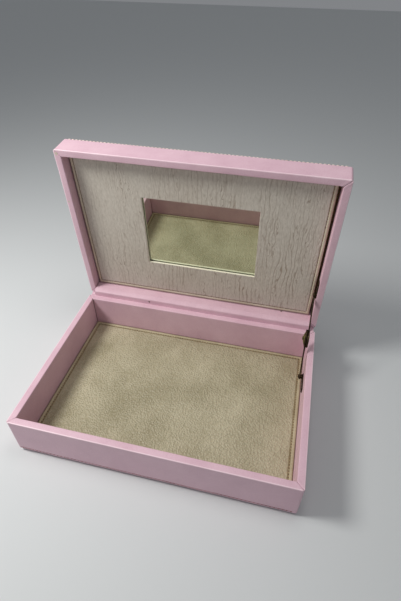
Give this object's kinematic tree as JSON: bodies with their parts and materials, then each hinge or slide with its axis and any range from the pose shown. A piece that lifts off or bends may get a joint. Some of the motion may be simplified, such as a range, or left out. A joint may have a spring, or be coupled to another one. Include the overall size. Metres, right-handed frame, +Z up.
{
  "type": "jewelry box",
  "caption": "Rectangular leatherette-covered jewelry box with an open tray, a hinged lid holding a mirror behind a panel window, and a folding side stay.",
  "frame": {"origin": "centre of the tray's underside, on the surface the box stands on", "axes": "+X along the box's width, +Y from the open front towards the hinge, +Z up"},
  "size_m": [0.3, 0.239, 0.2589],
  "materials": {
    "pink_leatherette": "satin grain",
    "base_leatherette": "satin grain",
    "floor_leatherette": "pebbled",
    "panel_leatherette": "streaked emboss",
    "board": "raw",
    "card": "raw",
    "mirror": "polished",
    "aged_brass": "aged"
  },
  "bodies": {
    "tray": {"hinge_strip_inner": "pink_leatherette", "hinge_strip_outer": "pink_leatherette", "stay_lower_pin_head": "aged_brass", "stay_lower_plate": "aged_brass", "stay_lower_screw_1": "aged_brass", "stay_lower_screw_2": "aged_brass", "tray_back_wall_board": "board", "tray_back_wall_cover": "pink_leatherette", "tray_base_board": "board", "tray_base_sheet": "base_leatherette", "tray_floor_card": "card", "tray_floor_pad": "floor_leatherette", "tray_front_wall_board": "board", "tray_front_wall_cover": "pink_leatherette", "tray_left_wall_board": "board", "tray_left_wall_cover": "pink_leatherette", "tray_right_wall_board": "board", "tray_right_wall_cover": "pink_leatherette"},
    "lid": {"lid_back_wall_board": "board", "lid_back_wall_cover": "pink_leatherette", "lid_front_wall_board": "board", "lid_front_wall_cover": "pink_leatherette", "lid_left_wall_board": "board", "lid_left_wall_cover": "pink_leatherette", "lid_panel": "panel_leatherette", "lid_right_wall_board": "board", "lid_right_wall_cover": "pink_leatherette", "lid_top_board": "board", "lid_top_sheet": "pink_leatherette", "mirror_backing_card": "card", "mirror_glass": "mirror", "panel_batten_back": "board", "panel_batten_front": "board", "panel_batten_left": "board", "panel_batten_right": "board", "stay_upper_pin_head": "aged_brass", "stay_upper_plate": "aged_brass", "stay_upper_screw_1": "aged_brass", "stay_upper_screw_2": "aged_brass"},
    "stay_lower": {"stay_lower_arm": "aged_brass", "stay_knuckle_rivet": "aged_brass"},
    "stay_upper": {"stay_upper_arm": "aged_brass"}
  },
  "joints": [
    {"name": "lid_hinge", "type": "hinge", "parent": "tray", "child": "lid", "pos_m": [0, 0.1052, 0.05035], "axis": [1, 0, 0], "range_deg": [0, 86], "deforming": ["hinge_strip_inner", "hinge_strip_outer"]},
    {"name": "stay_lower_pivot", "type": "hinge", "parent": "tray", "child": "stay_lower", "pos_m": [0.1383, 0.0465, 0.03], "axis": [1, 0, 0], "range_deg": [0, 109.9]},
    {"name": "stay_upper_pivot", "type": "hinge", "parent": "lid", "child": "stay_upper", "pos_m": [0.1401, 0.10938, 0.10447], "axis": [1, 0, 0], "range_deg": [-113.62, 0]}
  ],
  "couplings": [
    {"joint": "stay_lower_pivot", "follows": "lid_hinge", "ratio": 1.2721},
    {"joint": "stay_upper_pivot", "follows": "lid_hinge", "ratio": -1.3154}
  ]
}
